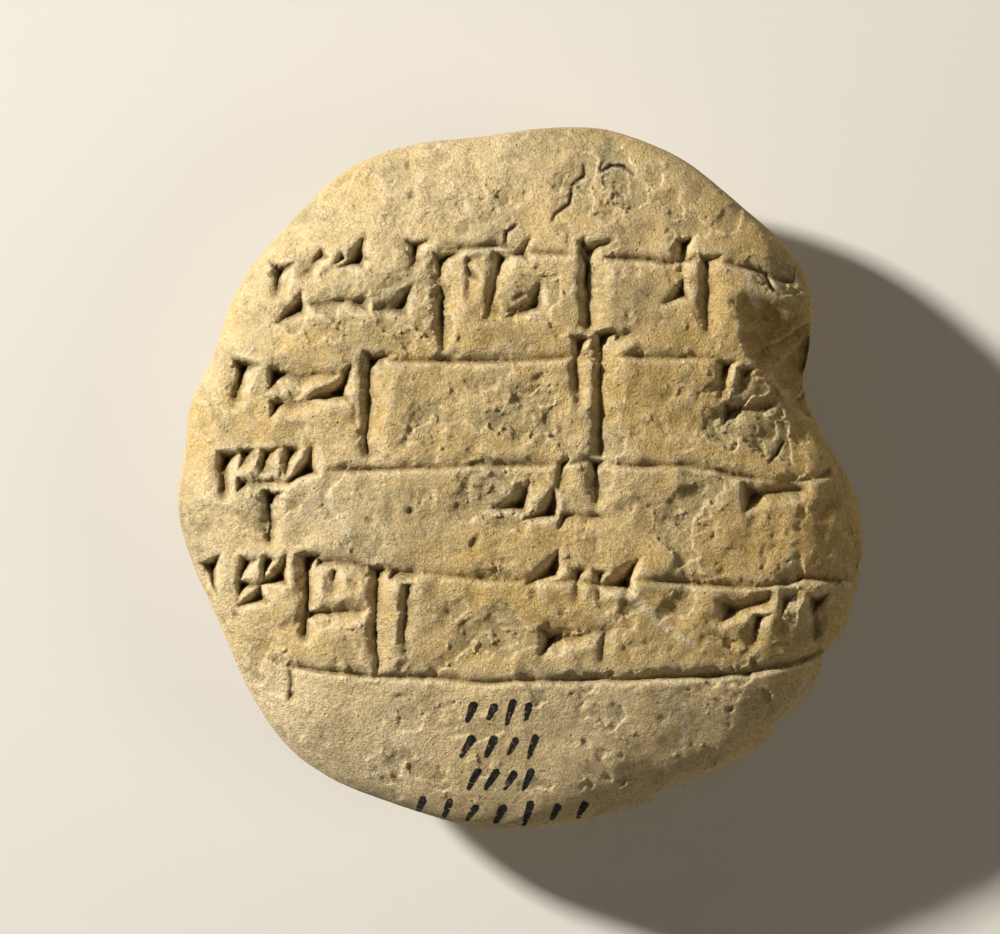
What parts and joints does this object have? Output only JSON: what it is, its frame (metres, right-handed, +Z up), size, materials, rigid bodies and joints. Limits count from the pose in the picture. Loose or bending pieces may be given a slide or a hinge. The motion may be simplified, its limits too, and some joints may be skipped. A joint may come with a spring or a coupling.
{
  "type": "inscribed clay tablet",
  "caption": "Round, lens-shaped clay writing tablet with ruled rows of impressed wedge strokes, a bare lower band and a chipped rim.",
  "frame": {"origin": "on the surface that the tablet lies on, under the middle of its outline", "axes": "+X along the rows of writing to the right, +Y towards the head of the text, +Z up out of the written face"},
  "size_m": [0.0797, 0.0818, 0.0265],
  "materials": {
    "pale_clay": "matte, dry and sandy"
  },
  "bodies": {
    "root": {"clay_tablet": "pale_clay"}
  },
  "joints": []
}
